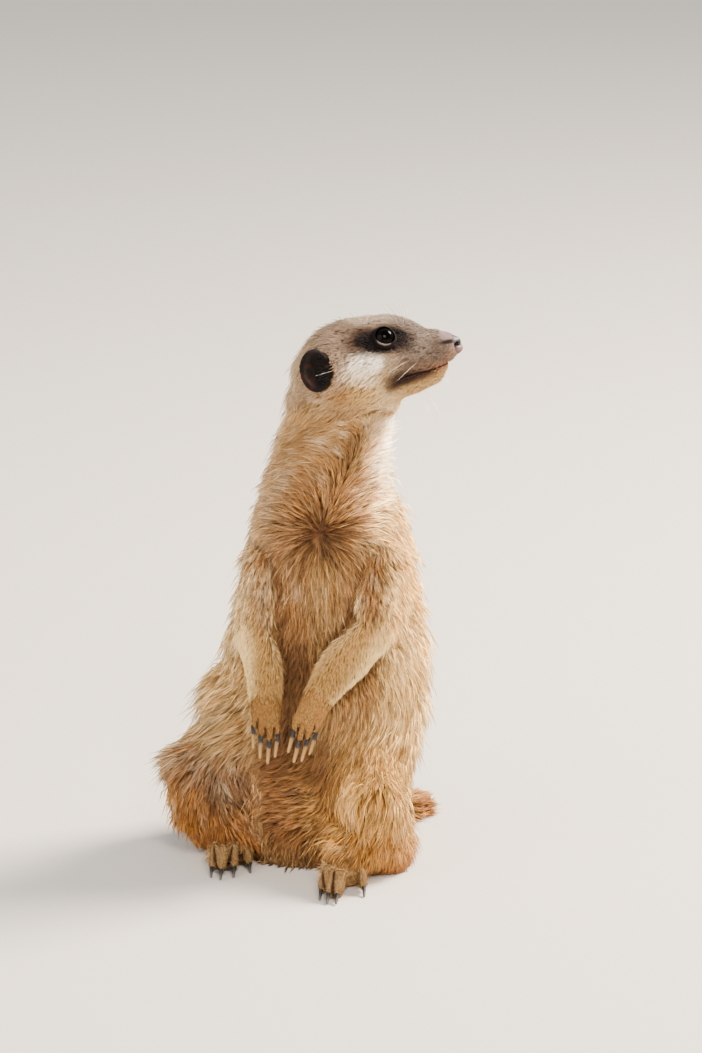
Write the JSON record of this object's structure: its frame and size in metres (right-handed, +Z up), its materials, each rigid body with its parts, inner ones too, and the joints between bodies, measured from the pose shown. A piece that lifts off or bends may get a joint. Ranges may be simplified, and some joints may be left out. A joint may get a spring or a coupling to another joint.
{
  "type": "meerkat",
  "caption": "Life-size still model of a meerkat sitting upright on its haunches, forepaws hanging at its belly, head turned to its left, tail curled on the floor.",
  "frame": {"origin": "middle of the underside of the whole animal's box, on the floor it sits on", "axes": "+Z up; -Y the way its chest faces; +X the animal's left, the way its nose points"},
  "size_m": [0.1424, 0.1732, 0.2714],
  "materials": {
    "body_coat": "soft fawn fur with a brindle of darker tips",
    "face_coat": "short grey-white fur",
    "dark_coat": "short black-brown fur",
    "nose_skin": "moist bare skin",
    "eye_surface": "wet gloss",
    "claw_horn": "satin horn"
  },
  "bodies": {
    "root": {"abdomen": "body_coat", "chest": "body_coat", "claw_fore_left_1": "claw_horn", "claw_fore_left_2": "claw_horn", "claw_fore_left_3": "claw_horn", "claw_fore_left_4": "claw_horn", "claw_fore_right_1": "claw_horn", "claw_fore_right_2": "claw_horn", "claw_fore_right_3": "claw_horn", "claw_fore_right_4": "claw_horn", "claw_hind_left_1": "claw_horn", "claw_hind_left_2": "claw_horn", "claw_hind_left_3": "claw_horn", "claw_hind_left_4": "claw_horn", "claw_hind_right_1": "claw_horn", "claw_hind_right_2": "claw_horn", "claw_hind_right_3": "claw_horn", "claw_hind_right_4": "claw_horn", "ear_left": "dark_coat", "ear_right": "dark_coat", "eye_left": "eye_surface", "eye_right": "eye_surface", "forearm_left": "body_coat", "forearm_right": "body_coat", "forepaw_left": "body_coat", "forepaw_right": "body_coat", "head": "face_coat", "hind_foot_left": "body_coat", "hind_foot_right": "body_coat", "lower_jaw": "face_coat", "neck": "body_coat", "nose": "nose_skin", "shank_left": "body_coat", "shank_right": "body_coat", "tail_base": "body_coat", "tail_mid": "body_coat", "tail_tip": "dark_coat", "thigh_left": "body_coat", "thigh_right": "body_coat", "upper_arm_left": "body_coat", "upper_arm_right": "body_coat"}
  },
  "joints": []
}
